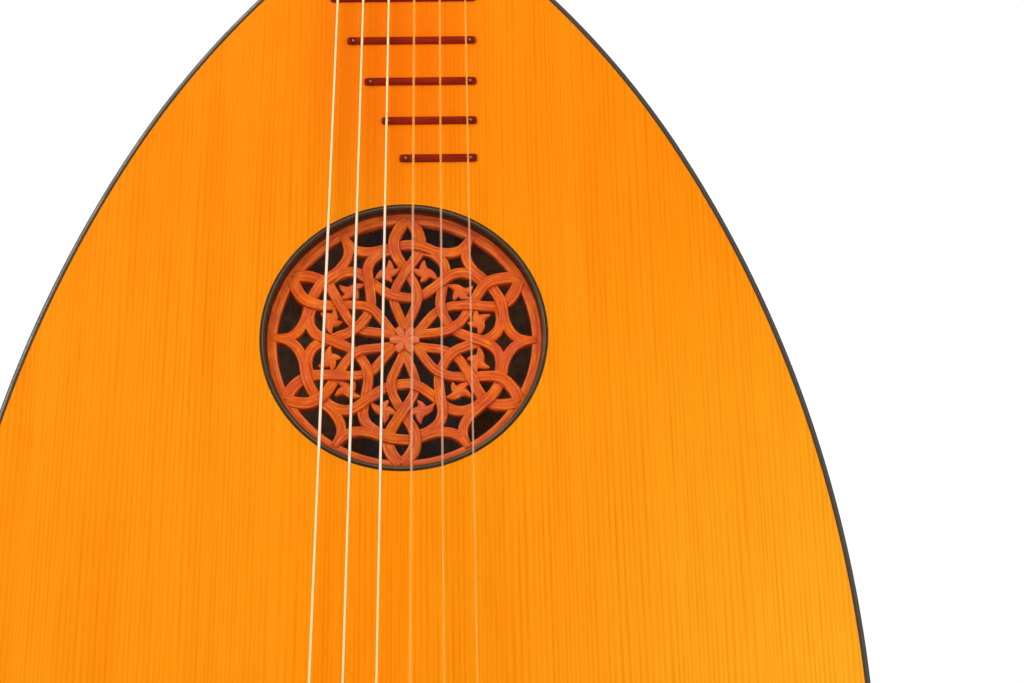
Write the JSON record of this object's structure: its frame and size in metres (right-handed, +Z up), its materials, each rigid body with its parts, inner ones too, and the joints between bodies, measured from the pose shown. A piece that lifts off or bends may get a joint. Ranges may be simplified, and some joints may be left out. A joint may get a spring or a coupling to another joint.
{
  "type": "lute-guitar",
  "caption": "Pear-shaped lute-guitar with a flat orange soundboard, carved interlaced rose, ribbed round back, fixed wooden frets, single strings and a bent-back pegbox.",
  "frame": {"origin": "centre of the end button's flat face, at the tail", "axes": "+Z up the neck, -Y out of the soundboard, +X towards the treble side"},
  "size_m": [0.3042, 0.175, 0.8426],
  "materials": {
    "spruce_top": "bright orange gloss varnish over fine straight spruce grain",
    "edging_wood": "black-stained hardwood, satin",
    "rose_wood": "carved hardwood with a red-orange stain, satin",
    "rib_dark": "dark red-brown hardwood, gloss varnish",
    "rib_light": "golden maple, gloss varnish",
    "inner_wood": "bare softwood",
    "neck_wood": "dark red-brown hardwood, satin varnish",
    "bridge_wood": "dark hardwood, satin",
    "fret_wood": "dark red hardwood, polished",
    "peg_wood": "turned dark hardwood, polished",
    "bone": "polished bone",
    "bass_string": "opaque cream-white string",
    "treble_string": "clear pale nylon",
    "steel": "plain steel"
  },
  "bodies": {
    "instrument": {"soundboard": "spruce_top", "soundboard_edging": "edging_wood", "rose_ring": "edging_wood", "rose": "rose_wood", "end_clasp": "edging_wood", "tail_block": "inner_wood", "neck_block": "inner_wood", "end_button": "peg_wood", "neck_screw": "steel", "treble_bar": "inner_wood", "neck": "neck_wood", "fingerboard": "edging_wood", "nut": "bone", "bridge": "bridge_wood", "pegbox_bass_cheek": "neck_wood", "pegbox_treble_cheek": "neck_wood", "pegbox_back": "neck_wood", "pegbox_end_block": "neck_wood", "pegbox_root_block": "neck_wood", "rib_1": "rib_dark", "rib_2": "rib_light", "rib_3": "rib_dark", "rib_4": "rib_light", "rib_5": "rib_dark", "rib_6": "rib_light", "rib_7": "rib_dark", "rib_8": "rib_light", "rib_9": "rib_dark", "brace_1": "inner_wood", "brace_2": "inner_wood", "brace_3": "inner_wood", "brace_4": "inner_wood", "fret_1": "fret_wood", "fret_2": "fret_wood", "fret_3": "fret_wood", "fret_4": "fret_wood", "fret_5": "fret_wood", "fret_6": "fret_wood", "fret_7": "fret_wood", "fret_8": "fret_wood", "fret_9": "fret_wood", "fret_10": "fret_wood", "fret_11": "fret_wood", "fret_12": "fret_wood", "fret_13": "fret_wood", "fret_14": "fret_wood", "fret_15": "fret_wood", "fret_16": "fret_wood", "string_1": "treble_string", "string_2": "treble_string", "string_3": "treble_string", "string_4": "bass_string", "string_5": "bass_string", "string_6": "bass_string"},
    "peg_1_turning": {"peg_1": "peg_wood"},
    "peg_2_turning": {"peg_2": "peg_wood"},
    "peg_3_turning": {"peg_3": "peg_wood"},
    "peg_4_turning": {"peg_4": "peg_wood"},
    "peg_5_turning": {"peg_5": "peg_wood"},
    "peg_6_turning": {"peg_6": "peg_wood"}
  },
  "joints": [
    {"name": "peg_1_turn", "type": "hinge", "parent": "instrument", "child": "peg_1_turning", "pos_m": [0, 0.03551, 0.7776], "axis": [1, 0, 0], "continuous": true},
    {"name": "peg_2_turn", "type": "hinge", "parent": "instrument", "child": "peg_2_turning", "pos_m": [0, 0.07757, 0.80074], "axis": [1, 0, 0], "continuous": true},
    {"name": "peg_3_turn", "type": "hinge", "parent": "instrument", "child": "peg_3_turning", "pos_m": [0, 0.11963, 0.82388], "axis": [1, 0, 0], "continuous": true},
    {"name": "peg_4_turn", "type": "hinge", "parent": "instrument", "child": "peg_4_turning", "pos_m": [0, 0.0986, 0.81231], "axis": [1, 0, 0], "continuous": true},
    {"name": "peg_5_turn", "type": "hinge", "parent": "instrument", "child": "peg_5_turning", "pos_m": [0, 0.05654, 0.78917], "axis": [1, 0, 0], "continuous": true},
    {"name": "peg_6_turn", "type": "hinge", "parent": "instrument", "child": "peg_6_turning", "pos_m": [0, 0.01448, 0.76603], "axis": [1, 0, 0], "continuous": true}
  ]
}
